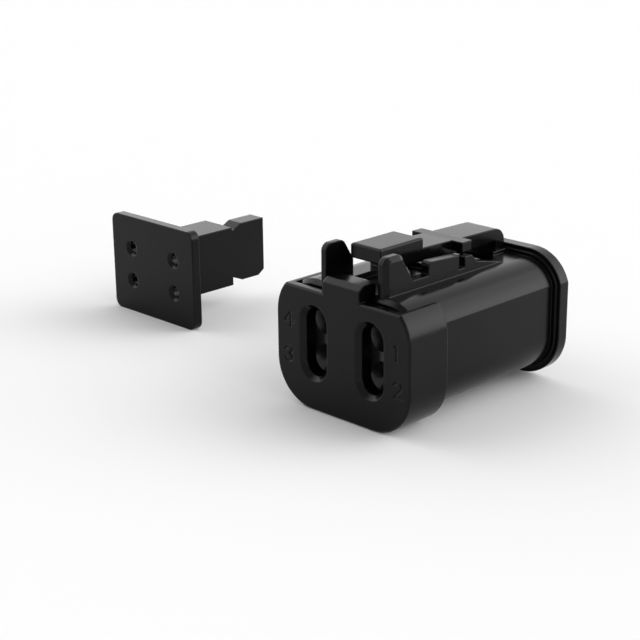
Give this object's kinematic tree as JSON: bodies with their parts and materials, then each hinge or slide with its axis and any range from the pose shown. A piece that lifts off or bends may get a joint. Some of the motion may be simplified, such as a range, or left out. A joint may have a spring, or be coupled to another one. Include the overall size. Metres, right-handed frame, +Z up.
{
  "type": "sealed plug connector",
  "caption": "Black rectangular sealed plug connector with a thumb latch on top and its wedge lock taken off beside it.",
  "frame": {"origin": "on the rear cover's wire face, at the centre of the pattern of contacts", "axes": "+Y from the wire face to the mating end, +Z up through the latch, +X to the right seen from the wire side"},
  "size_m": [0.0781, 0.034, 0.0243],
  "materials": {
    "shell": "satin moulded nylon",
    "seal": "matt silicone rubber",
    "contact": "nickel plated",
    "sleeve": "rolled stainless"
  },
  "bodies": {
    "shell": {"housing": "shell", "rear_cover": "shell", "wire_seal": "seal", "interface_seal": "seal", "wedge_lock": "shell", "contact_1": "contact", "contact_2": "contact", "contact_3": "contact", "contact_4": "contact", "contact_sleeve_1": "sleeve", "contact_sleeve_2": "sleeve", "contact_sleeve_3": "sleeve", "contact_sleeve_4": "sleeve"},
    "latch": {"latch": "shell"}
  },
  "joints": [
    {"name": "latch_bend", "type": "hinge", "parent": "shell", "child": "latch", "pos_m": [0, 0.03095, 0.00915], "axis": [1, 0, 0], "range_deg": [-2, 5], "stiffness_Nm_per_rad": 0.5}
  ]
}
